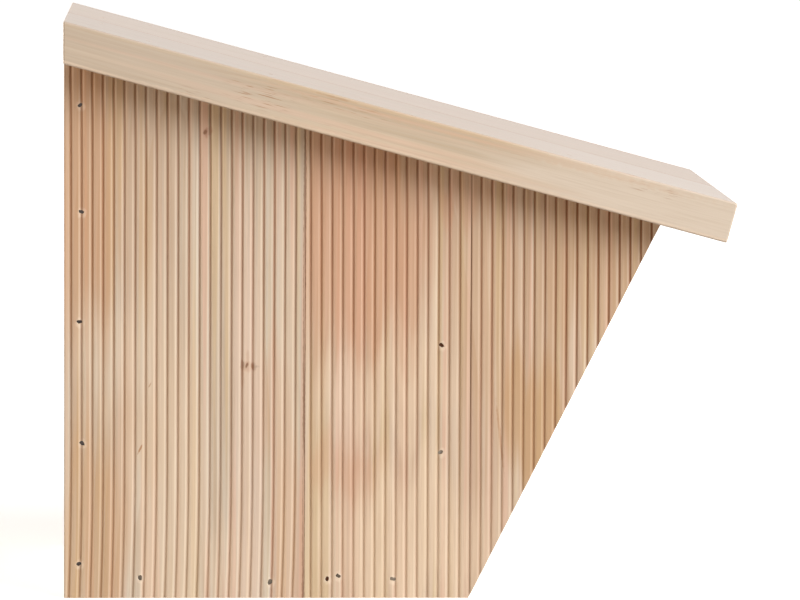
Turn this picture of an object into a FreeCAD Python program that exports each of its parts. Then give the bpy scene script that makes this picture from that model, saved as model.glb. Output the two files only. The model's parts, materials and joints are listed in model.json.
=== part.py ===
import FreeCAD, Part
import math
import os

# Open-fronted bird nest box of pine boards: two fluted side walls of two boards each, a full-height
# back, a floor, a low front board between the raked cheeks, and a sloped roof of two boards.
# Millimetres and degrees. +X points out of the open front, +Y to the box's own left, +Z up.
# The origin is under the middle of the whole box, on the plane that it stands on.

# Walls
inner_width = 128.0          # clear width between the side walls
wall_thickness = 16.0        # side boards
rear_board_width = 105.7     # rear board of a side wall, along X
cheek_board_width = 156.6    # front board of a side wall, along X, to its tip under the roof
base_depth = 178.5           # side wall along the bottom edge, up to the foot of the raked edge
back_height = 236.5          # underside of the roof at the rear face
back_thickness = 16.0
floor_thickness = 18.0
front_thickness = 16.0
front_height = 105.5         # low front board, which stands on the floor
front_setback = 4.7          # from the foot of the raked edges back to the front board's face

# Roof
roof_slope = 14.9
roof_thickness = 18.0
roof_reach = 294.0           # rear face to the foremost edge of the roof
roof_overhang = 18.0         # past each side wall
roof_right_width = 90.0      # right-hand roof board; the left-hand one takes the rest

# Flutes on the outer faces of the side walls and of the front board
flute_pitch = 4.69
flute_mouth = 1.75
flute_floor = 0.1
flute_depth = 0.63
flute_land = 2.1             # least flat strip between a board's edge and its first flute

# Brads, driven below the surface
brad_length = 40.0
brad_shank_radius = 0.8
brad_head_radius = 1.2
brad_head_height = 0.8
brad_point_length = 2.0
brad_point_radius = 0.2
brad_set = 1.0               # from the board's surface down to the head
brad_clearance = 0.05        # around a brad, in its hole

# Where the brads go
back_brad_inset = 7.2        # from the rear face to the column of brads
back_brad_low = 15.2         # from the bottom edge to the lowest brad
back_brad_drop = 16.9        # from the roof's underside to the highest brad
back_brad_shares = (0.0, 0.265, 0.53, 0.769, 1.0)  # of the way up between those two
back_brad_sways = (-0.6, 0.7, -0.4, 0.3, -0.2)     # off the column, because they are driven by eye
floor_brad_rear = 33.5       # from the rear face to the first floor brad
floor_brad_before_seam = 14.9
floor_brad_after_seam = 10.3
floor_brad_before_front = 20.7
floor_brad_rises = (0.0, -1.9, -0.5, -0.6)         # off the floor's mid-thickness
extra_brad_step = 4.9        # second brad beside the one after the seam, on the right only
extra_brad_rise = 1.3
front_brad_drop = 11.0       # from the front board's top edge to the upper brad
front_brad_spacing = 47.5
roof_brad_rear = 32.0        # from the rear face to the first roof brad
roof_brad_from_seam = 20.0
roof_brad_from_tip = 45.0
inner_brad_gap = 10.0        # from the points of the wall brads to the brads further in

# Holes
hang_hole_radius = 2.5
hang_hole_spacing = 80.0
drain_hole_radius = 3.0
drain_hole_gap = 17.0        # from the points of the wall brads
drain_hole_inset = 35.0      # from the back board and from the front board

# Places that follow from the sizes
rear_x = -roof_reach / 2
seam_x = rear_x + rear_board_width
tip_x = seam_x + cheek_board_width
foot_x = rear_x + base_depth
front_face_x = foot_x - front_setback
front_inner_x = front_face_x - front_thickness
front_mid_x = front_face_x - front_thickness / 2
back_inner_x = rear_x + back_thickness
front_top_z = floor_thickness + front_height
half_inner = inner_width / 2
half_outer = half_inner + wall_thickness
half_roof = half_outer + roof_overhang
brad_points_y = half_outer - brad_set - brad_length
inner_brad_y = brad_points_y - inner_brad_gap
drain_hole_y = brad_points_y - drain_hole_gap
roof_seam_y = -half_roof + roof_right_width
slope = math.radians(roof_slope)
roof_normal = FreeCAD.Vector(math.sin(slope), 0, math.cos(slope))
roof_front_under_x = rear_x + roof_reach - roof_thickness * math.sin(slope)


def underside(x):
    """Height of the roof's underside at x."""
    return back_height - (x - rear_x) * math.tan(slope)


def plate(outline, low_y, high_y):
    """Plate with an outline of (x, z) corners, from low_y to high_y."""
    corners = [FreeCAD.Vector(x, low_y, z) for x, z in outline]
    face = Part.Face(Part.makePolygon(corners + corners[:1]))
    return face.extrude(FreeCAD.Vector(0, high_y - low_y, 0))


def fluted_section(width, thickness):
    """Corners (across, up) of a board's section, with the flutes in its upper face."""
    count = int((width - 2 * flute_land - flute_mouth) / flute_pitch) + 1
    first = (width - (count - 1) * flute_pitch) / 2
    corners = [(0, 0), (0, thickness)]
    for number in range(count):
        middle = first + number * flute_pitch
        corners.append((middle - flute_mouth / 2, thickness))
        corners.append((middle - flute_floor / 2, thickness - flute_depth))
        corners.append((middle + flute_floor / 2, thickness - flute_depth))
        corners.append((middle + flute_mouth / 2, thickness))
    return corners + [(width, thickness), (width, 0)]


def extrude_section(corners, along):
    """Solid of a closed flat section, drawn out along a vector."""
    return Part.Face(Part.makePolygon(corners + corners[:1])).extrude(along)


def side_board(start_x, width, side):
    """Upright fluted board of a side wall: side is -1 for the right wall and 1 for the left."""
    section = fluted_section(width, wall_thickness)
    corners = [FreeCAD.Vector(start_x + u, side * (half_inner + v), 0) for u, v in section]
    board = extrude_section(corners, FreeCAD.Vector(0, 0, back_height))
    wall_outline = [
        (rear_x, 0),
        (foot_x, 0),
        (tip_x, underside(tip_x)),
        (rear_x, back_height),
    ]
    return board.common(plate(wall_outline, -half_outer, half_outer))


def make_front_board():
    """Low front board with its flutes lying across the box."""
    section = fluted_section(front_height, front_thickness)
    corners = [FreeCAD.Vector(front_inner_x + v, -half_inner, floor_thickness + u) for u, v in section]
    return extrude_section(corners, FreeCAD.Vector(0, inner_width, 0))


def make_back_board():
    """Full-height back between the sides, bevelled to the roof, with the two holes it hangs by."""
    outline = [
        (rear_x, 0),
        (back_inner_x, 0),
        (back_inner_x, underside(back_inner_x)),
        (rear_x, back_height),
    ]
    board = plate(outline, -half_inner, half_inner)
    # In the straight line of sight over the front board and under the roof's front edge
    hole_z = (front_top_z + underside(roof_front_under_x)) / 2
    for y in (-hang_hole_spacing / 2, hang_hole_spacing / 2):
        start = FreeCAD.Vector(rear_x, y, hole_z)
        board = board.cut(Part.makeCylinder(hang_hole_radius, back_thickness, start, FreeCAD.Vector(1, 0, 0)))
    return board


def make_floor_board():
    """Floor from the back board to under the front board, with a drain hole near each corner."""
    outline = [
        (back_inner_x, 0),
        (front_face_x, 0),
        (front_face_x, floor_thickness),
        (back_inner_x, floor_thickness),
    ]
    board = plate(outline, -half_inner, half_inner)
    for x in (back_inner_x + drain_hole_inset, front_inner_x - drain_hole_inset):
        for y in (-drain_hole_y, drain_hole_y):
            board = board.cut(Part.makeCylinder(drain_hole_radius, floor_thickness, FreeCAD.Vector(x, y, 0)))
    return board


def roof_board(low_y, high_y):
    """Roof board: cut plumb at the rear face and square to the slope at the front."""
    under_front = FreeCAD.Vector(roof_front_under_x, 0, underside(roof_front_under_x))
    top_front = under_front + roof_normal * roof_thickness
    outline = [
        (rear_x, back_height),
        (under_front.x, under_front.z),
        (top_front.x, top_front.z),
        (rear_x, back_height + roof_thickness / math.cos(slope)),
    ]
    return plate(outline, low_y, high_y)


def brad_solid(start, into, clearance):
    """Brad whose axis meets the surface at start: a disc head, a round shank and a blunt point."""
    head_top = start + into * brad_set
    neck = head_top + into * brad_head_height
    shank_length = brad_length - brad_head_height - brad_point_length
    shoulder = neck + into * shank_length
    shank_radius = brad_shank_radius + clearance
    point_radius = brad_point_radius + clearance
    head = Part.makeCylinder(brad_head_radius + clearance, brad_head_height, head_top, into)
    shank = Part.makeCylinder(shank_radius, shank_length, neck, into)
    point = Part.makeCone(shank_radius, point_radius, brad_point_length, shoulder, into)
    return head.fuse([shank, point])


def brad_hole(start, into):
    """Room for a brad in the wood, open to the surface above its head."""
    mouth = Part.makeCylinder(brad_head_radius + brad_clearance, brad_set, start, into)
    return brad_solid(start, into, brad_clearance).fuse(mouth)


def wall_brads(side):
    """Starting points of the brads in one side wall: in the back, the floor and the front board."""
    y = side * half_outer
    back_x = rear_x + back_brad_inset
    back_span = underside(back_x) - back_brad_drop - back_brad_low
    back = [
        FreeCAD.Vector(back_x + sway, y, back_brad_low + share * back_span)
        for share, sway in zip(back_brad_shares, back_brad_sways)
    ]
    floor_places = (
        rear_x + floor_brad_rear,
        seam_x - floor_brad_before_seam,
        seam_x + floor_brad_after_seam,
        front_mid_x - floor_brad_before_front,
    )
    floor = [
        FreeCAD.Vector(x, y, floor_thickness / 2 + rise)
        for x, rise in zip(floor_places, floor_brad_rises)
    ]
    if side < 0:
        after_seam = floor[2]
        floor.append(after_seam + FreeCAD.Vector(extra_brad_step, 0, extra_brad_rise))
    upper_z = front_top_z - front_brad_drop
    front = [
        FreeCAD.Vector(front_mid_x, y, upper_z),
        FreeCAD.Vector(front_mid_x, y, upper_z - front_brad_spacing),
    ]
    return back, floor, front


def roof_start(under_x, y):
    """Point on the roof's top face whose square line comes out of the underside at under_x."""
    return FreeCAD.Vector(under_x, y, underside(under_x)) + roof_normal * roof_thickness


boards = {
    "back_board": make_back_board(),
    "floor_board": make_floor_board(),
    "front_board": make_front_board(),
    "roof_right_board": roof_board(-half_roof, roof_seam_y),
    "roof_left_board": roof_board(roof_seam_y, half_roof),
}
for side_name, side in (("right", -1), ("left", 1)):
    boards[side_name + "_side_rear_board"] = side_board(rear_x, rear_board_width, side)
    boards[side_name + "_side_front_board"] = side_board(seam_x, cheek_board_width, side)

# Each group of brads: the boards that it joins, its starting points and its direction
groups = {}
for side_name, side in (("right", -1), ("left", 1)):
    rear = side_name + "_side_rear_board"
    cheek = side_name + "_side_front_board"
    back_points, floor_points, front_points = wall_brads(side)
    inwards = FreeCAD.Vector(0, -side, 0)
    groups[side_name + "_back_brads"] = ((rear, "back_board"), back_points, inwards)
    groups[side_name + "_floor_brads"] = ((rear, cheek, "floor_board"), floor_points, inwards)
    groups[side_name + "_front_brads"] = ((cheek, "front_board"), front_points, inwards)
    roof_places = (
        rear_x + roof_brad_rear,
        seam_x - roof_brad_from_seam,
        seam_x + roof_brad_from_seam,
        tip_x - roof_brad_from_tip,
    )
    wall_mid_y = side * (half_inner + wall_thickness / 2)
    roof_points = [roof_start(x, wall_mid_y) for x in roof_places]
    roof_name = "roof_" + side_name
    groups[roof_name + "_brads"] = ((roof_name + "_board", rear, cheek), roof_points, -roof_normal)

# The brads in the back's top edge lean with the roof, so the middle of their grip is at mid-thickness
brad_grip = brad_set + brad_length - roof_thickness
back_top_x = rear_x + back_thickness / 2 + brad_grip * math.sin(slope) / 2
pair_y = (-inner_brad_y, inner_brad_y)
groups["roof_back_brads"] = (
    ("roof_right_board", "roof_left_board", "back_board"),
    [roof_start(back_top_x, y) for y in pair_y],
    -roof_normal,
)
groups["back_floor_brads"] = (
    ("back_board", "floor_board"),
    [FreeCAD.Vector(rear_x, y, floor_thickness / 2) for y in pair_y],
    FreeCAD.Vector(1, 0, 0),
)
groups["floor_front_brads"] = (
    ("floor_board", "front_board"),
    [FreeCAD.Vector(front_mid_x, y, 0) for y in pair_y],
    FreeCAD.Vector(0, 0, 1),
)

os.makedirs("parts", exist_ok=True)
for group_name, (joined, points, into) in groups.items():
    for board_name in joined:
        holes = [brad_hole(point, into) for point in points]
        boards[board_name] = boards[board_name].cut(holes)
    brads = [brad_solid(point, into, 0.0) for point in points]
    Part.makeCompound(brads).exportStep("parts/" + group_name + ".step")
for board_name, board in boards.items():
    board.exportStep("parts/" + board_name + ".step")
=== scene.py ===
import json
import math
import random

import bmesh
import bpy
from mathutils import Matrix, Vector


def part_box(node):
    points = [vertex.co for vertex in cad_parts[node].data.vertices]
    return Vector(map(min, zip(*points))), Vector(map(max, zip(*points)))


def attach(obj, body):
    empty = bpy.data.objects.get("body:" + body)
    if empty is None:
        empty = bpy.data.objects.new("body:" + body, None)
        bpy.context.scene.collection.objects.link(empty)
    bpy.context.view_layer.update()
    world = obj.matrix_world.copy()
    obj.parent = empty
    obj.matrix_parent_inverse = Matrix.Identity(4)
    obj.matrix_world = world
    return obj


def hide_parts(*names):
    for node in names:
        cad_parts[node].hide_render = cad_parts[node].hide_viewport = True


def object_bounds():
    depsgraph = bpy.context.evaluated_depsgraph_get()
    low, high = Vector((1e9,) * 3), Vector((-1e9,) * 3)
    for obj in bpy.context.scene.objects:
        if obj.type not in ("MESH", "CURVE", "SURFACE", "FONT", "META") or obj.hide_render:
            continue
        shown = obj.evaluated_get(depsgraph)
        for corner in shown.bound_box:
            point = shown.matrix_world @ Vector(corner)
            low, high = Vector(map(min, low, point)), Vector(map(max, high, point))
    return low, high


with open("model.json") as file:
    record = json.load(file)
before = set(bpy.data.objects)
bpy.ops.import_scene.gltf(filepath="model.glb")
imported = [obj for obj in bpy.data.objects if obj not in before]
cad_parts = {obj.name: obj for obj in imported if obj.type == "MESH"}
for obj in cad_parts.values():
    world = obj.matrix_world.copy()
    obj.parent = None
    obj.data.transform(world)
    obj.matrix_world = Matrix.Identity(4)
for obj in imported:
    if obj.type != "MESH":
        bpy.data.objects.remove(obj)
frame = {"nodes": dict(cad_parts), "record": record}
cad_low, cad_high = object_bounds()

# Open-fronted bird nest box of raw pine. Metres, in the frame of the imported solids:
# +X out of the open front, +Y to the box's own left, +Z up.

MM = 0.001

# Places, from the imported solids
back_low, back_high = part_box("back_board")
rear_low, rear_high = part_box("right_side_rear_board")
cheek_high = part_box("right_side_front_board")[1]
floor_low, floor_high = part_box("floor_board")
front_low, front_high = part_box("front_board")
roof_right_low, roof_right_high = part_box("roof_right_board")
roof_left_low, roof_left_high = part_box("roof_left_board")

foot_level = 0.1 * MM
cheek_points = [vert.co for vert in frame["nodes"]["right_side_front_board"].data.vertices]
foot_x = max(point.x for point in cheek_points if point.z < foot_level)
rear_x = back_low.x
seam_x = rear_high.x
tip_x = cheek_high.x
half_inner = -rear_high.y
half_outer = -rear_low.y
wall_thickness = half_outer - half_inner
wall_top_z = rear_high.z
roof_slope = math.atan((rear_high.z - cheek_high.z) / (seam_x - rear_x))
roof_thickness = (roof_right_high.z - wall_top_z) * math.cos(roof_slope)
roof_under_front_x = roof_right_high.x - roof_thickness * math.sin(roof_slope)
roof_joint = roof_right_high.y
down_slope = Vector((math.cos(roof_slope), 0, -math.sin(roof_slope)))
roof_normal = Vector((math.sin(roof_slope), 0, math.cos(roof_slope)))

# Flutes, as the solids have them, but with worn arrises, more so on the fore side of each rib
flute_pitch = 4.69 * MM
flute_mouth = 1.75 * MM
flute_floor = 0.1 * MM
flute_depth = 0.63 * MM
flute_land = 2.1 * MM
flute_wear = 0.15 * MM
rib_drop_fore = 0.12 * MM
rib_drop_rear = 0.04 * MM
rib_flat_fore = 0.8 * MM
rib_flat_rear = 1.0 * MM
board_arris = 0.35 * MM
flute_rows = 14

# How the flutes of the side walls lie to the rear of their places, curve and lean
rear_shift = 0.57 * MM
rear_curve = 1.0 * MM
rear_curve_height = 60 * MM
cheek_shift = 0.34 * MM
cheek_lean = 0.0033

# Planed boards
eased_edge = 0.8 * MM
eased_steps = 3
eased_round = 0.5

# Brads and the torn pits over their heads
brad_set = 1.0 * MM
brad_head_radius = 1.2 * MM
brad_head_height = 0.8 * MM
brad_shank_radius = 0.8 * MM
brad_length = 40.0 * MM
brad_clearance = 0.05 * MM
brad_weld = 0.001 * MM
brad_head_level = 0.01 * MM
brad_sort_digits = 5
pit_radius = 1.05 * MM
pit_lip = 0.25 * MM
pit_sides = 16
pit_seed = 11
pit_long = (1.0, 1.3)
pit_short = (0.65, 0.9)
pit_ragged = (0.85, 1.15)

# Holes to hang it by, and drain holes in the floor
hang_mount = next(mount for mount in frame["record"]["mounts"] if mount["name"] == "hang_holes")
hang_hole_z = hang_mount["pos_m"][2]
hang_hole_radius = 2.5 * MM
hang_hole_spacing = 80.0 * MM
drain_hole_radius = 3.0 * MM
drain_hole_inset = 35.0 * MM
drain_hole_gap = 17.0 * MM
drain_hole_y = half_outer - brad_set - brad_length - drain_hole_gap
hole_sides = 40
hole_past = 1.0 * MM


def underside(x):
    """Height of the roof's underside at x."""
    return wall_top_z - (x - rear_x) * math.tan(roof_slope)


def rake(x):
    """Height of a side wall's lower end at x: level up to its foot, then along the raked edge."""
    share = max(0.0, x - foot_x) / (tip_x - foot_x)
    return share * underside(tip_x)


# Meshes

def mesh_object(name, bm):
    """Object of a finished bmesh, linked to the scene."""
    bmesh.ops.recalc_face_normals(bm, faces=bm.faces)
    mesh = bpy.data.meshes.new(name)
    bm.to_mesh(mesh)
    bm.free()
    made = bpy.data.objects.new(name, mesh)
    bpy.context.scene.collection.objects.link(made)
    return made


def flute_profile(width, thickness):
    """Points (across, up, moves) of a board's fluted face; the flutes' own points move with their sway."""
    count = int((width - 2 * flute_land - flute_mouth) / flute_pitch) + 1
    first = (width - (count - 1) * flute_pitch) / 2
    wall_run = (flute_mouth - flute_floor) / 2
    worn = flute_wear / math.hypot(wall_run, flute_depth)

    def half_flute(drop):
        """Offsets from a flute's middle and heights, from the rib's edge down to the flute's floor."""
        return [
            (flute_mouth / 2 + flute_wear, -drop),
            (flute_mouth / 2 - wall_run * worn, -drop - flute_depth * worn),
            (flute_floor / 2, -flute_depth),
        ]

    points = [(0.0, thickness - board_arris, 0), (board_arris, thickness, 0)]
    for number in range(count):
        middle = first + number * flute_pitch
        if number > 0:
            crest = middle - flute_pitch / 2
            points.append((crest - rib_flat_rear, thickness, 1))
            points.append((crest + rib_flat_fore, thickness, 1))
        for offset, sunk in half_flute(rib_drop_fore):
            points.append((middle - offset, thickness + sunk, 1))
        for offset, sunk in reversed(half_flute(rib_drop_rear)):
            points.append((middle + offset, thickness + sunk, 1))
    points += [(width - board_arris, thickness, 0), (width, thickness - board_arris, 0)]
    return points


def split_profile(points, at):
    """The same points with one more where the profile crosses the place at."""
    result = []
    for here, there in zip(points, points[1:]):
        result.append(here)
        if here[0] < at < there[0]:
            share = (at - here[0]) / (there[0] - here[0])
            result.append((at, here[1] + share * (there[1] - here[1]), 0))
    return result + points[-1:]


def fluted_board(name, width, thickness, low_end, high_end, place, sway, corner=None):
    """Fluted board. low_end and high_end give the ends' places along the flutes for a place across the
    board, place turns (across, up, along) into a point, sway moves the flutes sideways, and corner is
    where across the board its lower end bends."""
    outer = flute_profile(width, thickness)
    inner = [
        (width, board_arris, 0),
        (width - board_arris, 0.0, 0),
        (board_arris, 0.0, 0),
        (0.0, board_arris, 0),
    ]
    if corner is not None:
        outer = split_profile(outer, corner)
        inner = inner[:2] + [(corner, 0.0, 0)] + inner[2:]
    profile = outer + inner
    bm = bmesh.new()
    rows = []
    for row in range(flute_rows + 1):
        share = row / flute_rows
        ring = []
        for across, up, moves in profile:
            along = low_end(across) + share * (high_end(across) - low_end(across))
            shifted = across + moves * sway(along)
            along = low_end(shifted) + share * (high_end(shifted) - low_end(shifted))
            ring.append(bm.verts.new(place(shifted, up, along)))
        rows.append(ring)
    count = len(profile)
    for lower, upper in zip(rows, rows[1:]):
        for index in range(count):
            after = (index + 1) % count
            bm.faces.new((lower[index], lower[after], upper[after], upper[index]))
    bm.faces.new(rows[-1])
    if corner is None:
        bm.faces.new(rows[0])
    else:
        first = next(i for i, p in enumerate(profile) if p[0] == corner)
        last = next(i for i in range(count - 1, 0, -1) if profile[i][0] == corner)
        bm.faces.new(rows[0][first:last + 1])
        bm.faces.new(rows[0][last:] + rows[0][:first + 1])
    return mesh_object(name, bm)


def planed_board(name, outline, low_y, high_y):
    """Flat board with an outline of (x, z) corners, from low_y to high_y, with eased edges."""
    bm = bmesh.new()
    near = [bm.verts.new((x, low_y, z)) for x, z in outline]
    far = [bm.verts.new((x, high_y, z)) for x, z in outline]
    bm.faces.new(near)
    bm.faces.new(far)
    for index in range(len(outline)):
        after = (index + 1) % len(outline)
        bm.faces.new((near[index], near[after], far[after], far[index]))
    bmesh.ops.bevel(
        bm,
        geom=bm.edges[:],
        offset=eased_edge,
        segments=eased_steps,
        profile=eased_round,
        affect="EDGES",
    )
    return mesh_object(name, bm)


def ring_stack(bm, start, into, sections, sides):
    """Closed spindle along a direction: sections are (depth, radius, share of it at each side)."""
    turn = into.to_track_quat("Z", "X").to_matrix()
    rings = []
    for depth, radius, shares in sections:
        ring = []
        for side, share in zip(range(sides), shares):
            angle = 2 * math.pi * side / sides
            flat = Vector((radius * share * math.cos(angle), radius * share * math.sin(angle), depth))
            ring.append(bm.verts.new(start + turn @ flat))
        rings.append(ring)
    for lower, upper in zip(rings, rings[1:]):
        for side in range(sides):
            after = (side + 1) % sides
            bm.faces.new((lower[side], lower[after], upper[after], upper[side]))
    bm.faces.new(rings[0])
    bm.faces.new(rings[-1])


def carve(board, bm):
    """Cuts a closed cutter out of a board for good."""
    cutter = mesh_object("cutter", bm)
    modifier = board.modifiers.new("carve", "BOOLEAN")
    modifier.operation = "DIFFERENCE"
    modifier.solver = "EXACT"
    modifier.object = cutter
    bpy.context.view_layer.update()
    evaluated = board.evaluated_get(bpy.context.evaluated_depsgraph_get())
    carved = bpy.data.meshes.new_from_object(evaluated)
    board.modifiers.clear()
    plain = board.data
    board.data = carved
    bpy.data.meshes.remove(plain)
    bpy.data.objects.remove(cutter)


# The boards

def no_sway(along):
    """The front board's flutes lie straight."""
    return 0.0


def rear_sway(z):
    """The rear boards' flutes lie a little to the rear, and curve back near the bottom."""
    low_share = max(0.0, 1 - z / rear_curve_height)
    return -rear_shift - rear_curve * low_share ** 2


def cheek_sway(z):
    """The cheeks' flutes lie a little to the rear, and lean back towards the top."""
    return -cheek_shift - cheek_lean * z


def side_board(node, start_x, end_x, side, sway, corner=None):
    """Fluted board of a side wall: side is -1 for the right wall and 1 for the left."""
    return fluted_board(
        node + "_wood",
        end_x - start_x,
        wall_thickness,
        lambda across: rake(start_x + across),
        lambda across: underside(start_x + across),
        lambda across, up, along: Vector((start_x + across, side * (half_inner + up), along)),
        sway,
        corner,
    )


def roof_board(node, low, high):
    """Roof board: cut plumb at the rear and square to the slope at the front."""
    under_z = underside(roof_under_front_x)
    outline = [
        (rear_x, wall_top_z),
        (roof_under_front_x, under_z),
        (roof_right_high.x, under_z + roof_thickness * math.cos(roof_slope)),
        (rear_x, roof_right_high.z),
    ]
    return planed_board(node + "_wood", outline, low.y, high.y)


boards = {}
for side_name, side in (("right", -1), ("left", 1)):
    node = side_name + "_side_rear_board"
    boards[node] = side_board(node, rear_x, seam_x, side, rear_sway)
    node = side_name + "_side_front_board"
    boards[node] = side_board(node, seam_x, tip_x, side, cheek_sway, foot_x - seam_x)
boards["front_board"] = fluted_board(
    "front_board_wood",
    front_high.z - front_low.z,
    front_high.x - front_low.x,
    lambda across: -half_inner,
    lambda across: half_inner,
    lambda across, up, along: Vector((front_low.x + up, along, front_low.z + across)),
    no_sway,
)
boards["back_board"] = planed_board(
    "back_board_wood",
    [
        (rear_x, 0.0),
        (back_high.x, 0.0),
        (back_high.x, underside(back_high.x)),
        (rear_x, wall_top_z),
    ],
    back_low.y,
    back_high.y,
)
boards["floor_board"] = planed_board(
    "floor_board_wood",
    [
        (floor_low.x, floor_low.z),
        (floor_high.x, floor_low.z),
        (floor_high.x, floor_high.z),
        (floor_low.x, floor_high.z),
    ],
    floor_low.y,
    floor_high.y,
)
boards["roof_right_board"] = roof_board("roof_right_board", roof_right_low, roof_right_high)
boards["roof_left_board"] = roof_board("roof_left_board", roof_left_low, roof_left_high)


# Holes and pits

def solids_of(node):
    """Corner points of each separate solid of a node."""
    bm = bmesh.new()
    bm.from_mesh(frame["nodes"][node].data)
    bmesh.ops.remove_doubles(bm, verts=bm.verts, dist=brad_weld)
    left = set(bm.verts)
    found = []
    while left:
        grown = [left.pop()]
        points = []
        while grown:
            vert = grown.pop()
            points.append(vert.co.copy())
            for edge in vert.link_edges:
                other = edge.other_vert(vert)
                if other in left:
                    left.remove(other)
                    grown.append(other)
        found.append(points)
    bm.free()
    return found


def brad_starts(node, into):
    """Points on the boards' surface over the heads of a node's brads, in a steady order."""
    starts = []
    for points in solids_of(node):
        depth = min(p.dot(into) for p in points)
        head = [p for p in points if p.dot(into) < depth + brad_head_level]
        middle = sum(head, Vector()) / len(head)
        starts.append(middle - into * brad_set)
    return sorted(starts, key=lambda p: tuple(round(c, brad_sort_digits) for c in p))


def torn_outline(draw):
    """Uneven outline of a torn pit: a share of its radius for each side."""
    long_share = draw.uniform(*pit_long)
    short_share = draw.uniform(*pit_short)
    tilt = draw.uniform(0, math.pi)
    shares = []
    for side in range(pit_sides):
        swing = math.cos(2 * math.pi * side / pit_sides - tilt) ** 2
        oval = short_share + (long_share - short_share) * swing
        shares.append(oval * draw.uniform(*pit_ragged))
    return shares


def brad_cutters(node, into, draw):
    """One cutter mesh with the room for every brad of a node, under a torn mouth."""
    bm = bmesh.new()
    even = [1.0] * pit_sides
    head_room = brad_head_radius + brad_clearance
    shank_room = brad_shank_radius + brad_clearance
    for start in brad_starts(node, into):
        torn = torn_outline(draw)
        sections = [
            (-2 * pit_lip, pit_radius + 2 * pit_lip, torn),
            (pit_lip, pit_radius, torn),
            (brad_set - pit_lip, pit_radius, torn),
            (brad_set, head_room, even),
            (brad_set + brad_head_height, head_room, even),
            (brad_set + brad_head_height + brad_clearance, shank_room, even),
            (brad_set + brad_length + brad_clearance, shank_room, even),
        ]
        ring_stack(bm, start, into, sections, pit_sides)
    return bm


def bore(board, places, into, radius, length):
    """Straight round holes through a board."""
    bm = bmesh.new()
    even = [1.0] * hole_sides
    sections = [(-hole_past, radius, even), (length + hole_past, radius, even)]
    for place in places:
        ring_stack(bm, place, into, sections, hole_sides)
    carve(board, bm)


hang_hole_places = [
    Vector((rear_x, y, hang_hole_z))
    for y in (-hang_hole_spacing / 2, hang_hole_spacing / 2)
]
bore(
    boards["back_board"],
    hang_hole_places,
    Vector((1, 0, 0)),
    hang_hole_radius,
    back_high.x - rear_x,
)
drain_hole_places = [
    Vector((x, y, floor_low.z))
    for x in (back_high.x + drain_hole_inset, front_low.x - drain_hole_inset)
    for y in (-drain_hole_y, drain_hole_y)
]
bore(
    boards["floor_board"],
    drain_hole_places,
    Vector((0, 0, 1)),
    drain_hole_radius,
    floor_high.z - floor_low.z,
)

# The way that each group of brads goes in, and the boards that it goes through
brad_groups = {
    "roof_back_brads": (-roof_normal, ("roof_right_board", "roof_left_board", "back_board")),
    "back_floor_brads": (Vector((1, 0, 0)), ("back_board", "floor_board")),
    "floor_front_brads": (Vector((0, 0, 1)), ("floor_board", "front_board")),
}
for side_name, side in (("right", -1), ("left", 1)):
    inwards = Vector((0, -side, 0))
    roof = "roof_" + side_name + "_board"
    rear = side_name + "_side_rear_board"
    cheek = side_name + "_side_front_board"
    brad_groups["roof_" + side_name + "_brads"] = (-roof_normal, (roof, rear, cheek))
    brad_groups[side_name + "_back_brads"] = (inwards, (rear, "back_board"))
    brad_groups[side_name + "_floor_brads"] = (inwards, (rear, cheek, "floor_board"))
    brad_groups[side_name + "_front_brads"] = (inwards, (cheek, "front_board"))
for number, (node, (into, joined)) in enumerate(sorted(brad_groups.items())):
    for board_node in joined:
        carve(boards[board_node], brad_cutters(node, into, random.Random(pit_seed + number)))


# Materials. Swings are how often a noise swings per metre, twice across the fibres and once along them.
# A span is the pair of values between which a mark comes in, and a share is how strong it gets.

# Annual rings
ring_taper = 0.03
wander_swings = (9, 9, 3.5)
wander_reach = 22 * MM
ripple_swings = (60, 60, 6)
ripple_detail = 3.0
ripple_reach = 1.6 * MM
latewood_rise = (0.25, 0.93)
latewood_fall = (0.95, 1.0)
ring_strength_swings = (40, 40, 4)
ring_strength_span = (0.3, 0.7)
ring_strength_shares = (0.35, 1.0)

# Streaks and threads, each from a place of its own in the noise
planed_liveliness = 0.5
streak_swings = (190, 190, 3)
streak_span = (0.4, 0.75)
streak_share = 0.55
pale_start = (3.1, 0, 0)
pale_swings = (170, 170, 2.5)
pale_span = (0.5, 0.75)
pale_share = 0.65
tint_start = (7.7, 0, 0)
tint_swings = (230, 230, 3.5)
tint_detail = 1.0
pink_span = (0.52, 0.66)
green_span = (0.48, 0.34)
tint_share = 0.75
thread_start = (5.3, 0, 0)
thread_swings = (650, 650, 9)
thread_detail = 2.0
thread_roughness = 0.6
thread_span = (0.48, 0.72)
thread_share = 0.45

# Stains, fibres and resin dashes
jump_reach = 60 * MM
fray_swings = (210, 210, 7)
fray_reach = 1.2
stain_span = (1.35, 0.55)
fibre_swings = (1500, 1500, 28)
fibre_detail = 3.0
fibre_roughness = 0.6
fibre_span = (0.35, 0.8)
fibre_share = 0.3
crowd_swings = (22, 22, 9)
crowd_span = (0.5, 0.68)
crowd_spot_span = (1.2, 0.6)
dash_swings = (2000, 2000, 110)
dash_detail = 1.0
dash_span = (0.56, 0.72)

# Flecks, the pale fibres round a torn pit, in millimetres, and the glued joint of the roof
speckle_swings = (600, 600, 400)
speckle_reach = 1.2
fleck_span = (1.3, 0.5)
line_cover = 0.7
torn_across = 0.3
torn_along = -0.4
torn_half_across = 1.7
torn_half_along = 2.2
torn_span = (1.4, 0.6)
torn_share = 0.45
glue_span = (2.5 * MM, 0.5 * MM)
glue_share = 0.6

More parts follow.
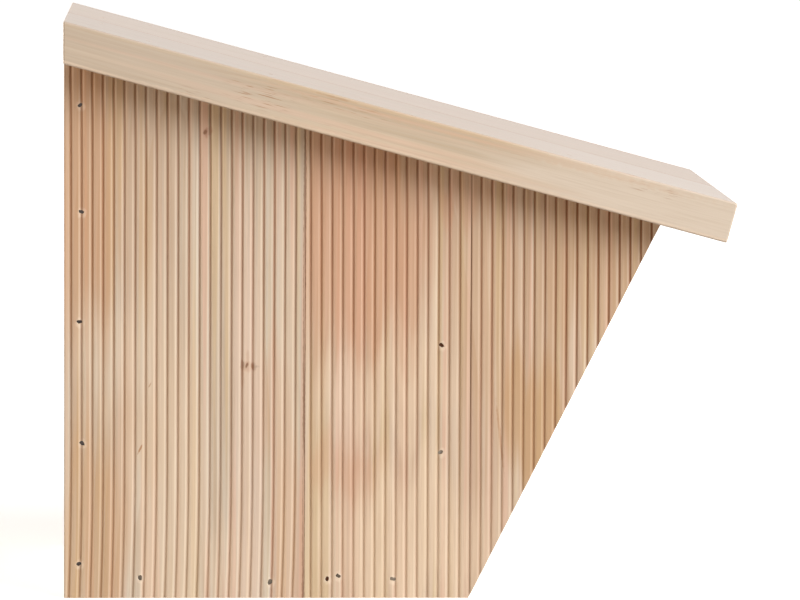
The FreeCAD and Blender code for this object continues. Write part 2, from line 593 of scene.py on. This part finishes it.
# Arrises, with a painted highlight, and flutes and the hollows of the pits, with painted shade, by the
# depth under a board's face
arris_start = (0.01 * MM, 0.06 * MM)
arris_end = (0.28 * MM, 0.12 * MM)
# Painted shade in the flutes, with some real browning: lighter towards the bottom, where the floor's light
# reaches in, and darker towards the raked edge
floor_light_span = (0.0, 170 * MM)
fore_shade_span = (40 * MM, 90 * MM)
fore_shade_share = 1.4
scorch_and_shade_span = (rib_drop_fore + 0.02 * MM, 0.85 * flute_depth)
scorch_and_shade_share = 0.62
outward_span = (0.4, 0.7)
below_span = (flute_depth + 0.02 * MM, flute_depth + 0.1 * MM)
# Painted shade in the hollows of the torn pits
hollow_half_mm = 2.0
hollow_span = (1.1, 0.9)
hollow_share = 0.85

# Sawn ends, gloss and relief
end_span = (0.6, 0.95)
end_share = 0.35
end_ring_share = 0.45
planed_roughness = 0.26
fluted_roughness = 0.5
rougher_fibre = 0.15
rougher_end = 0.15
planed_specular = 0.5
fluted_specular = 0.15
latewood_relief = 0.25
planed_bump = 0.12
fluted_bump = 0.35
grain_bump_depth = 0.12 * MM

# Wire steel
cloud_swings = (900, 900, 900)
cloud_detail = 3.0
cloud_roughness = 0.6
wear_swings = (60, 60, 60)
wear_detail = 1.0
wear_span = (0.4, 0.6)
scuff_span = (0.45, 0.7)
scuff_share = 0.6
# Painted shade on the heads of brads in deep pits
brad_pit_shadow_span = (3.0 * MM, 2.0 * MM)
brad_pit_shadow_share = 0.9
gloss_span = (0.2, 0.8)
gloss_roughness = (0.35, 0.6)
steel_bump = 0.3
steel_bump_depth = 0.1 * MM


def tone(red, green, blue):
    """Linear colour of a screen colour given in 0 to 255, by the sRGB curve."""
    def linear(value):
        value /= 255
        return value / 12.92 if value <= 0.04045 else ((value + 0.055) / 1.055) ** 2.4
    return (linear(red), linear(green), linear(blue), 1.0)


class Graph:
    """Short forms for the nodes of one material."""

    def __init__(self, name):
        self.material = bpy.data.materials.new(name)
        self.material.use_nodes = True
        self.tree = self.material.node_tree
        self.shader = self.tree.nodes["Principled BSDF"]
        self.place = self.node("TexCoord").outputs["Object"]

    def feed(self, socket, value):
        """Links a socket to another one, or sets it to a plain value."""
        if isinstance(value, bpy.types.NodeSocket):
            self.tree.links.new(value, socket)
        else:
            socket.default_value = value

    def node(self, kind, inputs=(), **settings):
        made = self.tree.nodes.new("ShaderNode" + kind)
        for key, value in settings.items():
            setattr(made, key, value)
        for key, value in dict(inputs).items():
            self.feed(made.inputs[key], value)
        return made

    def math(self, operation, *values):
        return self.node("Math", enumerate(values), operation=operation).outputs[0]

    def vector(self, operation, *values):
        made = self.node("VectorMath", enumerate(values), operation=operation)
        return made.outputs["Value" if operation in ("LENGTH", "DOT_PRODUCT", "DISTANCE") else "Vector"]

    def part(self, vector, axis):
        """One coordinate of a vector."""
        return self.node("SeparateXYZ", {0: vector}).outputs[axis]

    def noise(self, point, swings, detail=2.0, roughness=0.5):
        """Noise between 0 and 1."""
        scaled = self.vector("MULTIPLY", point, swings)
        inputs = {"Vector": scaled, "Scale": 1.0, "Detail": detail, "Roughness": roughness}
        return self.node("TexNoise", inputs, noise_dimensions="3D").outputs["Fac"]

    def smooth(self, value, span, shares=(0.0, 1.0)):
        """Goes smoothly from the first share to the second as the value goes through the span."""
        inputs = {
            "Value": value,
            "From Min": span[0],
            "From Max": span[1],
            "To Min": shares[0],
            "To Max": shares[1],
        }
        return self.node("MapRange", inputs, interpolation_type="SMOOTHSTEP").outputs["Result"]

    def blend(self, share, first, second):
        """Goes from the first colour to the second as the share goes from 0 to 1."""
        made = self.node("Mix", data_type="RGBA")
        self.feed(made.inputs[0], share)
        self.feed(made.inputs[6], first)
        self.feed(made.inputs[7], second)
        return made.outputs[2]

    def reach(self, across, along, spot):
        """Distance from a spot's middle, 1 at its rim. A spot is (across, along, half across, half along,
        lean), all in millimetres but the lean, which is its drift across per length along."""
        middle_across, middle_along, half_across, half_along, lean = spot
        up = self.math("SUBTRACT", along, middle_along * MM)
        sideways = self.math("SUBTRACT", across, middle_across * MM)
        sideways = self.math("MULTIPLY_ADD", up, -lean, sideways)
        sideways = self.math("DIVIDE", sideways, half_across * MM)
        up = self.math("DIVIDE", up, half_along * MM)
        return self.vector("LENGTH", self.node("CombineXYZ", {"X": sideways, "Y": up}).outputs["Vector"])


def pine(
    name, early, late, grain, pith, ring, contrast, dashes,
    sink=None, stains=(), flecks=(), crowds=(), pits=(), joint=None, planed=False,
):
    """Raw pine. grain is the board's own (turn, across, along, start), pith is where the rings' centre
    lies, ring is a ring's width, contrast is how strong the rings are, and dashes how strong the resin
    dashes are. sink describes a fluted face: the axis that it is square to and its place on it, how
    dark the flutes are at the bottom and at the top, browned and with painted shade, and how pale the
    arrises are, worn and with a painted highlight. stains, flecks and crowds of resin dashes are spots,
    each with a colour and a strength or a strength alone, pits are the places of torn pits, and joint is
    the place across the box of a glued joint that shows."""
    g = Graph(name)
    turn, across_axis, along_axis, start = grain
    fibres = g.node("Mapping", {"Vector": g.place, "Rotation": turn, "Location": pith}).outputs["Vector"]
    from_start = g.vector("SUBTRACT", g.place, start)
    across = g.vector("DOT_PRODUCT", from_start, across_axis)
    along = g.vector("DOT_PRODUCT", from_start, along_axis)

    # Annual rings round a wandering pith that tapers along the trunk
    wander = g.noise(fibres, wander_swings)
    ripple = g.noise(fibres, ripple_swings, ripple_detail)
    radius = g.vector("LENGTH", g.vector("MULTIPLY", fibres, (1, 1, 0)))
    radius = g.math("MULTIPLY_ADD", g.part(fibres, "Z"), ring_taper, radius)
    radius = g.math("MULTIPLY_ADD", wander, wander_reach, radius)
    radius = g.math("MULTIPLY_ADD", ripple, ripple_reach, radius)
    phase = g.math("FRACT", g.math("DIVIDE", radius, ring))
    rise = g.smooth(phase, latewood_rise)
    fall = g.smooth(phase, latewood_fall, (1.0, 0.0))
    latewood = g.math("MULTIPLY", rise, fall)
    strength = g.noise(fibres, ring_strength_swings)
    strength = g.smooth(strength, ring_strength_span, ring_strength_shares)
    grain_lines = g.math("MULTIPLY", latewood, strength)
    colour = g.blend(g.math("MULTIPLY", grain_lines, contrast), early, late)

    # Streaks of a warmer, a paler, a pinker and a greener tint, about a rib wide
    lively = planed_liveliness if planed else 1.0
    streak = g.noise(fibres, streak_swings)
    colour = g.blend(g.smooth(streak, streak_span, (0.0, streak_share * lively)), colour, late)
    pale = g.noise(g.vector("ADD", fibres, pale_start), pale_swings)
    colour = g.blend(g.smooth(pale, pale_span, (0.0, pale_share * lively)), colour, pale_streak)
    tint = g.noise(g.vector("ADD", fibres, tint_start), tint_swings, tint_detail)
    colour = g.blend(g.smooth(tint, pink_span, (0.0, tint_share * lively)), colour, pink_streak)
    colour = g.blend(g.smooth(tint, green_span, (0.0, tint_share * lively)), colour, green_streak)

    # Threads of darker wood, a few to a rib
    thread = g.vector("ADD", fibres, thread_start)
    thread = g.noise(thread, thread_swings, thread_detail, thread_roughness)
    colour = g.blend(g.smooth(thread, thread_span, (0.0, thread_share * lively)), colour, late)

    # Heartwood stains whose edges jump from streak to streak
    jump = g.math("MULTIPLY_ADD", streak, jump_reach, -jump_reach / 2)
    jumped = g.math("ADD", along, jump)
    fray = g.math("MULTIPLY_ADD", g.noise(fibres, fray_swings), fray_reach, -fray_reach / 2)
    for spot, stain, amount in stains:
        rim = g.math("ADD", g.reach(across, jumped, spot), fray)
        colour = g.blend(g.smooth(rim, stain_span, (0.0, amount)), colour, stain)

    # Fibres, and short resin dashes, most of them in crowds
    fibre = g.noise(fibres, fibre_swings, fibre_detail, fibre_roughness)
    colour = g.blend(g.smooth(fibre, fibre_span, (0.0, fibre_share)), colour, late)
    crowd = g.smooth(g.noise(fibres, crowd_swings), crowd_span, (0.0, dashes))
    for spot, amount in crowds:
        placed = g.smooth(g.reach(across, along, spot), crowd_spot_span, (0.0, amount))
        crowd = g.math("MAXIMUM", crowd, placed)
    dash = g.smooth(g.noise(fibres, dash_swings, dash_detail), dash_span)
    colour = g.blend(g.math("MULTIPLY", dash, crowd), colour, resin)

    # Pin knots and single flecks, through which the grain lines show
    speckle = g.noise(fibres, speckle_swings)
    speckle = g.math("MULTIPLY_ADD", speckle, speckle_reach, -speckle_reach / 2)
    between_lines = g.math("MULTIPLY_ADD", grain_lines, -line_cover, 1.0)
    for spot, fleck, amount in flecks:
        rim = g.math("ADD", g.reach(across, along, spot), speckle)
        share = g.math("MULTIPLY", g.smooth(rim, fleck_span, (0.0, amount)), between_lines)
        colour = g.blend(share, colour, fleck)

    # Fresh, pale fibres round a torn pit
    for pit_across, pit_along in pits:
        middle_across = pit_across / MM + torn_across
        middle_along = pit_along / MM + torn_along
        torn = (middle_across, middle_along, torn_half_across, torn_half_along, 0)
        rim = g.math("ADD", g.reach(across, along, torn), speckle)
        colour = g.blend(g.smooth(rim, torn_span, (0.0, torn_share)), colour, fresh_fibre)

    # A glued joint shows as a faint, redder line
    if joint is not None:
        from_joint = g.math("ABSOLUTE", g.math("SUBTRACT", g.part(g.place, "Y"), joint))
        colour = g.blend(g.smooth(from_joint, glue_span, (0.0, glue_share)), colour, glue_line)

    # The worn arrises of the ribs are paler than the face, partly wear and partly a painted highlight.
    # Flutes are darker, partly browned by the cutter and by dust, partly painted shade of the hollows. The
    # darkening is lighter near the bottom, where the floor's light reaches into the flutes, and stronger
    # towards the raked edge, where it stands in for the shade on the flutes' rear walls. Torn pits carry
    # painted shade in their hollows
    normal = g.node("NewGeometry").outputs["Normal"]
    if sink is not None:
        from_middle = g.math("ABSOLUTE", g.part(g.place, sink["axis"]))
        depth = g.math("SUBTRACT", sink["face"], from_middle)
        edge = g.math("MULTIPLY", g.smooth(depth, arris_start), g.smooth(depth, arris_end))
        colour = g.blend(g.math("MULTIPLY", edge, sink["pale"]), colour, worn_arris_and_highlight)
        floor_light_fade = g.smooth(g.part(g.place, "Z"), floor_light_span, (sink["bottom"], sink["top"]))
        fore_shade = g.smooth(g.part(g.place, "X"), fore_shade_span, (1.0, fore_shade_share))
        outward = g.math("ABSOLUTE", g.part(normal, sink["axis"]))
        below = g.smooth(depth, below_span)
        scorch_and_shade = g.smooth(depth, scorch_and_shade_span, (0.0, scorch_and_shade_share))
        for share in (floor_light_fade, fore_shade, g.smooth(outward, outward_span), g.math("SUBTRACT", 1.0, below)):
            scorch_and_shade = g.math("MULTIPLY", scorch_and_shade, share)
        colour = g.blend(scorch_and_shade, colour, scorched_and_shaded)
        for pit_across, pit_along in pits:
            hollow = (pit_across / MM, pit_along / MM, hollow_half_mm, hollow_half_mm, 0)
            inside = g.smooth(g.reach(across, along, hollow), hollow_span, (0.0, hollow_share))
            colour = g.blend(g.math("MULTIPLY", inside, below), colour, pit_hollow_shade)

    # Sawn ends are darker and rougher than planed faces, and their rings stand out
    facing = g.node("Mapping", {"Vector": normal, "Rotation": turn}, vector_type="VECTOR").outputs["Vector"]
    end = g.smooth(g.math("ABSOLUTE", g.part(facing, "Z")), end_span)
    colour = g.blend(g.math("MULTIPLY", end, end_share), colour, sawn_end)
    end_rings = g.math("MULTIPLY", g.math("MULTIPLY", end, grain_lines), end_ring_share)
    colour = g.blend(end_rings, colour, resin)
    g.feed(g.shader.inputs["Base Color"], colour)

    smoothest = planed_roughness if planed else fluted_roughness
    roughness = g.math("MULTIPLY_ADD", fibre, rougher_fibre, smoothest)
    roughness = g.math("MULTIPLY_ADD", end, rougher_end, roughness)
    g.feed(g.shader.inputs["Roughness"], roughness)
    g.shader.inputs["Specular IOR Level"].default_value = planed_specular if planed else fluted_specular
    relief = g.math("MULTIPLY_ADD", latewood, latewood_relief, fibre)
    raised = planed_bump if planed else fluted_bump
    bump = g.node("Bump", {"Height": relief, "Strength": raised, "Distance": grain_bump_depth})
    g.feed(g.shader.inputs["Normal"], bump.outputs["Normal"])
    return g.material


def brad_steel(name, dull, bright, shaded_places=()):
    """Wire steel with scuffs from the driving, duller on one brad than on the next. The last argument gives
    the places of brads whose deep pits get painted shade, a dark tone on their heads."""
    g = Graph(name)
    cloud = g.noise(g.place, cloud_swings, cloud_detail, cloud_roughness)
    share = g.smooth(g.noise(g.place, wear_swings, wear_detail), wear_span)
    colour = g.blend(share, dull, bright)
    colour = g.blend(g.smooth(cloud, scuff_span, (0.0, scuff_share)), colour, scuffed)
    for middle in shaded_places:
        near = g.vector("DISTANCE", g.place, tuple(middle))
        colour = g.blend(g.smooth(near, brad_pit_shadow_span, (0.0, brad_pit_shadow_share)), colour, brad_pit_shadow)
    g.feed(g.shader.inputs["Base Color"], colour)
    g.shader.inputs["Metallic"].default_value = 1.0
    g.feed(g.shader.inputs["Roughness"], g.smooth(cloud, gloss_span, gloss_roughness))
    bump = g.node("Bump", {"Height": cloud, "Strength": steel_bump, "Distance": steel_bump_depth})
    g.feed(g.shader.inputs["Normal"], bump.outputs["Normal"])
    return g.material


# How the grain lies in a board: the turn that brings it upright, the directions across and along it in
# which spots are placed, and the point that they are placed from
upright = ((0, 0, 0), (1, 0, 0), (0, 0, 1), (0, 0, 0))
on_slope = ((0, -math.pi / 2 - roof_slope, 0), roof_normal, down_slope, (rear_x, 0, wall_top_z))
crosswise = ((math.pi / 2, 0, 0), (0, 0, 1), (0, 1, 0), (0, 0, 0))
outwards = ((0, -math.pi / 2, 0), (0, 1, 0), (1, 0, 0), (0, 0, 0))

# Tints of the wood and of its marks
pale_streak = tone(230, 213, 189)
pink_streak = tone(221, 186, 164)
green_streak = tone(212, 190, 154)
resin = tone(158, 112, 76)
pin_knot = tone(122, 80, 56)
knot_halo = tone(186, 136, 100)
knot_rose = tone(166, 108, 86)
grain_line = tone(176, 128, 92)
# Painted shade of the flutes, with the cutter's browning in it
scorched_and_shaded = tone(135, 89, 55)
# Painted shade in the hollows of the torn pits
pit_hollow_shade = tone(74, 46, 32)
fresh_fibre = tone(238, 222, 202)
# Pale arrises: worn wood, and a painted highlight along the ribs' edges
worn_arris_and_highlight = tone(244, 228, 206)
joint_shade = tone(120, 82, 54)
glue_line = tone(184, 142, 120)
sawn_end = tone(186, 146, 104)
amber = tone(198, 152, 113)
tan = tone(194, 158, 118)
honey = tone(200, 156, 108)
rose = tone(206, 152, 120)
cream = tone(232, 210, 184)
blush = tone(230, 207, 190)
cool_cream = tone(212, 200, 184)
cool_tan = tone(193, 184, 175)
# Painted tone of the roof's top face, greyer than its side, set for the light and sheen that fall on the
# top
top_face_light_tone = tone(210, 185, 172)
orange_edge = tone(198, 162, 126)
# Painted highlight along the roof side's lower edge
edge_highlight = tone(226, 206, 184)
scuffed = tone(96, 90, 86)
# Painted shade on the heads of brads in deep pits
brad_pit_shadow = tone(70, 38, 22)

# Spots, as Graph.reach says, with their tints and strengths. The first is the dark line where the two
# boards of a side wall meet.
seam_flecks = [
    ((seam_x / MM - 0.3, 120, 0.55, 400, 0), joint_shade, 0.8),
]
rear_stains = [
    ((-139, 180, 14, 80, 0), amber, 0.57),
    ((-124, 182, 25, 58, 0), amber, 0.27),
    ((-134, 25, 18, 46, 0), honey, 0.52),
    ((-132, 72, 15, 24, 0), honey, 0.25),
    ((-120, 62, 5, 60, 0), rose, 0.22),
    ((-46, 20, 9, 50, 0), rose, 0.42),
    ((-55, 84, 8, 28, 0), rose, 0.28),
    ((-111, 72, 8, 22, 0), tan, 0.28),
    ((-69, 145, 7, 40, 0), blush, 0.3),
    # Partly the wood's paler tone, partly painted light: the brighter bottom that the floor lights
    ((-74, 18, 14, 18, 0), cream, 0.3),
    ((-66, 60, 7, 85, 0), blush, 0.55),
    ((-102, 55, 20, 85, 0), cream, 0.5),
    ((-128, 105, 14, 22, 0), cream, 0.3),
    ((-49, 80, 5, 80, 0), cream, 0.38),
]
rear_flecks = [
    ((-84.4, 206.2, 1.9, 2.6, 0.2), knot_rose, 0.5),
    ((-85.4, 206.0, 0.9, 1.2, 0.3), pin_knot, 0.85),
    ((-66.2, 103.0, 3.8, 2.4, 0), knot_halo, 0.35),
    ((-66.4, 107.0, 0.7, 3.5, 0), grain_line, 0.25),
    ((-63.4, 102.9, 1.8, 0.7, 0), pin_knot, 0.3),
    ((-68.7, 103.7, 0.9, 2.0, 0), pin_knot, 0.9),
    ((-66.8, 103.4, 0.6, 1.2, 0.3), pin_knot, 0.75),
    ((-63.9, 103.0, 1.1, 1.8, 0), pin_knot, 1.0),
    ((-68.6, 98.0, 0.7, 4.5, 0), grain_line, 0.6),
    ((-113.6, 66.3, 0.5, 2.0, 0.45), grain_line, 0.85),
    ((-109.3, 94.7, 0.4, 1.4, 0.5), grain_line, 0.55),
] + seam_flecks
cheek_stains = [
    ((-18, 158, 33, 60, 0), rose, 0.55),
    ((-22, 56, 20, 12, 0), rose, 0.25),
    # Painted shade: a redder, darker spot just under the roof's edge
    ((24, 178, 14, 12, 0), rose, 0.3),
    ((60, 84, 15, 28, 0), tan, 0.75),
    ((92, 142, 24, 34, 0), tan, 0.29),
    ((38, 130, 16, 50, 0), tan, 0.27),
    ((72, 146, 9, 40, 0), tan, 0.28),
    # Partly the wood's paler tone, partly painted light: the brighter bottom that the floor lights
    ((5, 24, 36, 34, 0), cream, 0.72),
    ((-5, 90, 32, 18, 0), cream, 0.45),
    ((4, 112, 9, 18, 0), cream, 0.3),
    ((-24, 84, 6, 26, 0), blush, 0.35),
]
cheek_flecks = [
    ((45.0, 72.0, 0.6, 15.0, -0.12), grain_line, 0.5),
] + seam_flecks
roof_stains = [
    ((9, 275, 20, 80, 0), cool_cream, 0.95),
    ((9, 20, 20, 75, 0), cool_tan, 0.3),
]
# Painted tone over the roof's top face, set for the light and sheen that fall on it
top_face_light_fleck = ((roof_thickness / MM, 145, 0.5, 400, 0), top_face_light_tone, 0.5)
roof_flecks = [
    ((15.8, 180, 2.4, 100, 0), orange_edge, 0.3),
    ((16.8, 118, 0.5, 8, 0), resin, 0.4),
    # Painted highlight along the roof side's lower edge
    ((1.0, 145, 0.8, 400, 0), edge_highlight, 0.5),
    top_face_light_fleck,
]
roof_crowds = [
    ((9, 86, 6, 17, 0), 0.7),
    ((2.6, 57, 2.2, 10, 0), 0.6),
    ((14, 125, 3, 22, 0), 0.5),
    ((14, 262, 3, 12, 0), 0.6),
]

# Fluted faces, with the strengths of their browned, painted-shaded flutes and of their pale arrises with a
# painted highlight
rear_sink = {"axis": "Y", "face": half_outer, "bottom": 0.62, "top": 0.96, "pale": 0.24}
cheek_sink = {"axis": "Y", "face": half_outer, "bottom": 0.44, "top": 1.02, "pale": 0.13}
front_sink = {"axis": "X", "face": front_high.x, "bottom": 0.58, "top": 1.0, "pale": 0.18}


def pits_of(board_node):
    """Places, along X and Z, of the torn pits in a side wall's board."""
    low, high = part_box(board_node)
    side_name = board_node.split("_")[0]
    inwards = Vector((0, 1 if side_name == "right" else -1, 0))
    starts = []
    for group in ("_back_brads", "_floor_brads", "_front_brads"):
        starts += brad_starts(side_name + group, inwards)
    return [(start.x, start.z) for start in starts if low.x < start.x < high.x]


finishes = {
    "right_side_rear_board": pine(
        "pine_right_rear",
        early=tone(213, 203, 188),
        late=tone(189, 166, 141),
        grain=upright,
        pith=(0.10, 0.045, 0.2),
        ring=4.2 * MM,
        contrast=0.5,
        dashes=0.12,
        sink=rear_sink,
        stains=rear_stains,
        flecks=rear_flecks,
        pits=pits_of("right_side_rear_board"),
    ),
    "right_side_front_board": pine(
        "pine_right_front",
        early=tone(215, 196, 175),
        late=tone(191, 158, 130),
        grain=upright,
        pith=(-0.02, 0.05, 0.7),
        ring=4.6 * MM,
        contrast=0.5,
        dashes=0.12,
        sink=cheek_sink,
        stains=cheek_stains,
        flecks=cheek_flecks,
        pits=pits_of("right_side_front_board"),
    ),
    "left_side_rear_board": pine(
        "pine_left_rear",
        early=tone(215, 201, 182),
        late=tone(191, 164, 136),
        grain=upright,
        pith=(0.08, -0.05, 1.3),
        ring=4.4 * MM,
        contrast=0.5,
        dashes=0.12,
        sink=rear_sink,
        flecks=seam_flecks,
        pits=pits_of("left_side_rear_board"),
    ),
    "left_side_front_board": pine(
        "pine_left_front",
        early=tone(215, 193, 170),
        late=tone(191, 155, 125),
        grain=upright,
        pith=(-0.03, -0.045, 1.9),
        ring=4.0 * MM,
        contrast=0.5,
        dashes=0.12,
        sink=cheek_sink,
        flecks=seam_flecks,
        pits=pits_of("left_side_front_board"),
    ),
    "front_board": pine(
        "pine_front",
        early=tone(215, 198, 178),
        late=tone(191, 160, 132),
        grain=crosswise,
        pith=(0.01, 0.07, 2.3),
        ring=4.3 * MM,
        contrast=0.5,
        dashes=0.12,
        sink=front_sink,
    ),
    "back_board": pine(
        "pine_back",
        early=tone(214, 199, 178),
        late=tone(192, 163, 134),
        grain=upright,
        pith=(0.17, 0.01, 2.9),
        ring=4.5 * MM,
        contrast=0.55,
        dashes=0.3,
        planed=True,
    ),
    "floor_board": pine(
        "pine_floor",
        early=tone(214, 198, 175),
        late=tone(191, 161, 131),
        grain=outwards,
        pith=(0.05, 0.015, 3.3),
        ring=4.3 * MM,
        contrast=0.55,
        dashes=0.3,
        planed=True,
    ),
    "roof_right_board": pine(
        "pine_roof_right",
        early=tone(196, 182, 161),
        late=tone(176, 154, 127),
        grain=on_slope,
        pith=(0.27, 0.05, 3.9),
        ring=1.9 * MM,
        contrast=0.3,
        dashes=0.3,
        stains=roof_stains,
        flecks=roof_flecks,
        crowds=roof_crowds,
        joint=roof_joint,
        planed=True,
    ),
    "roof_left_board": pine(
        "pine_roof_left",
        early=tone(203, 187, 166),
        late=tone(183, 158, 131),
        grain=on_slope,
        pith=(0.26, -0.05, 4.4),
        ring=2.1 * MM,
        contrast=0.3,
        dashes=0.3,
        flecks=[top_face_light_fleck],
        joint=roof_joint,
        planed=True,
    ),
}

for node, board in boards.items():
    board.data.materials.clear()
    board.data.materials.append(finishes[node])
    for polygon in board.data.polygons:
        polygon.use_smooth = False
    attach(board, "root")
    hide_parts(node)

# The brads keep their solids. Two of the right wall's sit in deep pits, and their heads get painted shade.
shaded_pits = [
    max(brad_starts("right_front_brads", Vector((0, 1, 0))), key=lambda p: p.z),
    min(brad_starts("right_floor_brads", Vector((0, 1, 0))), key=lambda p: abs(p.x - seam_x)),
]
dull_steel = brad_steel("brad_steel_dull", tone(44, 38, 36), tone(74, 67, 64))
plain_steel = brad_steel("brad_steel", tone(104, 95, 84), tone(140, 130, 116), shaded_pits)
for node in brad_groups:
    for slot in frame["nodes"][node].material_slots:
        slot.material = dull_steel if node.endswith("_back_brads") else plain_steel


# Floor, world, light and camera

def camera_share(tree):
    """1 for what the camera sees, straight or in a reflection, and 0 for light on its way."""
    path = tree.nodes.new("ShaderNodeLightPath")
    share = path.outputs["Is Camera Ray"]
    for name in ("Is Glossy Ray", "Is Transmission Ray"):
        larger = tree.nodes.new("ShaderNodeMath")
        larger.operation = "MAXIMUM"
        tree.links.new(share, larger.inputs[0])
        tree.links.new(path.outputs[name], larger.inputs[1])
        share = larger.outputs[0]
    return share


def ramp(tree, value, span, shares):
    """Goes smoothly from the first share to the second as the value goes through the span."""
    made = tree.nodes.new("ShaderNodeMapRange")
    made.interpolation_type = "SMOOTHSTEP"
    made.inputs["From Min"].default_value, made.inputs["From Max"].default_value = span
    made.inputs["To Min"].default_value, made.inputs["To Max"].default_value = shares
    tree.links.new(value, made.inputs["Value"])
    return made.outputs["Result"]


def make_floor():
    """Wide pale floor that the camera sees nearly white, with the box's shadow on it. The light that it
    throws back is warmer further away from the box."""
    half_size = 30.0
    bounce_span = (0.25, 0.6)
    near_bounce = (0.46, 0.43, 0.39, 1.0)
    far_bounce = (0.36, 0.22, 0.13, 1.0)
    shown_shade = 0.9
    lift_span = (0.3, 0.8)
    lifts = (0.47, 1.0)
    bm = bmesh.new()
    corners = [(-1, -1), (1, -1), (1, 1), (-1, 1)]
    bm.faces.new([bm.verts.new((x * half_size, y * half_size, 0.0)) for x, y in corners])
    floor = mesh_object("floor", bm)
    material = bpy.data.materials.new("pale_floor")
    material.use_nodes = True
    tree = material.node_tree
    tree.nodes.remove(tree.nodes["Principled BSDF"])
    away = tree.nodes.new("ShaderNodeVectorMath")
    away.operation = "LENGTH"
    tree.links.new(tree.nodes.new("ShaderNodeTexCoord").outputs["Object"], away.inputs[0])
    distance = away.outputs["Value"]
    bounce = tree.nodes.new("ShaderNodeMix")
    bounce.data_type = "RGBA"
    bounce.inputs[6].default_value = near_bounce
    bounce.inputs[7].default_value = far_bounce
    tree.links.new(ramp(tree, distance, bounce_span, (0.0, 1.0)), bounce.inputs[0])
    lit = tree.nodes.new("ShaderNodeBsdfDiffuse")
    tree.links.new(bounce.outputs[2], lit.inputs["Color"])
    shown = tree.nodes.new("ShaderNodeBsdfDiffuse")
    shown.inputs["Color"].default_value = (shown_shade, shown_shade, shown_shade, 1.0)
    glow = tree.nodes.new("ShaderNodeEmission")
    tree.links.new(ramp(tree, distance, lift_span, lifts), glow.inputs["Strength"])
    seen = tree.nodes.new("ShaderNodeAddShader")
    mixed = tree.nodes.new("ShaderNodeMixShader")
    tree.links.new(shown.outputs[0], seen.inputs[0])
    tree.links.new(glow.outputs[0], seen.inputs[1])
    tree.links.new(camera_share(tree), mixed.inputs[0])
    tree.links.new(lit.outputs[0], mixed.inputs[1])
    tree.links.new(seen.outputs[0], mixed.inputs[2])
    tree.links.new(mixed.outputs[0], tree.nodes["Material Output"].inputs["Surface"])
    floor.data.materials.append(material)


def make_world():
    """Surroundings that the camera sees white, and that light the box a little, in a warm tint."""
    ambient = 0.08
    warm = (1.0, 0.74, 0.52, 1.0)
    white = (1.0, 1.0, 1.0, 1.0)
    world = bpy.data.worlds.new("studio")
    bpy.context.scene.world = world
    world.use_nodes = True
    tree = world.node_tree
    background = tree.nodes["Background"]
    share = camera_share(tree)
    colour = tree.nodes.new("ShaderNodeMix")
    colour.data_type = "RGBA"
    colour.inputs[6].default_value = warm
    colour.inputs[7].default_value = white
    tree.links.new(share, colour.inputs[0])
    tree.links.new(colour.outputs[2], background.inputs["Color"])
    strength = tree.nodes.new("ShaderNodeMapRange")
    tree.links.new(share, strength.inputs["Value"])
    strength.inputs["To Min"].default_value = ambient
    strength.inputs["To Max"].default_value = 1.0
    tree.links.new(strength.outputs["Result"], background.inputs["Strength"])


def softbox(name, towards, distance, size, power, colour=(1.0, 1.0, 1.0)):
    """Square soft light that looks at the middle of the box."""
    middle = (cad_low + cad_high) / 2
    towards = Vector(towards).normalized()
    light = bpy.data.lights.new(name, "AREA")
    light.shape = "SQUARE"
    light.size = size
    light.energy = power
    light.color = colour
    made = bpy.data.objects.new(name, light)
    bpy.context.scene.collection.objects.link(made)
    made.location = middle + towards * distance
    made.rotation_mode = "QUATERNION"
    made.rotation_quaternion = towards.to_track_quat("Z", "Y")


def make_camera():
    """Camera square to the right-hand wall, a little above it and a little to its rear."""
    image_width = 800
    focal_pixels = 4982.34
    sensor_width = 36.0
    far_clip = 200.0
    yaw, pitch, roll = 0.046256, -0.101640, 0.006836
    place = (-100.33 * MM, -2256.45 * MM, 354.67 * MM)
    camera = bpy.data.cameras.new("camera")
    camera.sensor_width = sensor_width
    camera.sensor_fit = "HORIZONTAL"
    camera.lens = focal_pixels / image_width * sensor_width
    camera.clip_end = far_clip
    made = bpy.data.objects.new("camera", camera)
    bpy.context.scene.collection.objects.link(made)
    level = math.cos(pitch)
    ahead = Vector((math.sin(yaw) * level, math.cos(yaw) * level, math.sin(pitch)))
    right = Vector((math.cos(yaw), -math.sin(yaw), 0.0))
    up = right.cross(ahead)
    rolled_right = right * math.cos(roll) + up * math.sin(roll)
    rolled_up = up * math.cos(roll) - right * math.sin(roll)
    turn = Matrix((rolled_right, rolled_up, -ahead)).transposed()
    made.rotation_mode = "QUATERNION"
    made.rotation_quaternion = turn.to_quaternion()
    made.location = place
    bpy.context.scene.camera = made


make_camera()
make_floor()
make_world()
softbox("key", towards=(0.73, -0.54, 0.455), distance=3.0, size=2.25, power=124.0)
softbox("fill", towards=(-0.6, 0.65, 0.16), distance=2.2, size=0.9, power=45.0)
softbox(
    "side",
    towards=(-0.82, -0.45, 0.36),
    distance=2.4,
    size=1.3,
    power=27.0,
    colour=(1.0, 0.90, 0.80),
)
bpy.context.scene.view_settings.view_transform = "Standard"
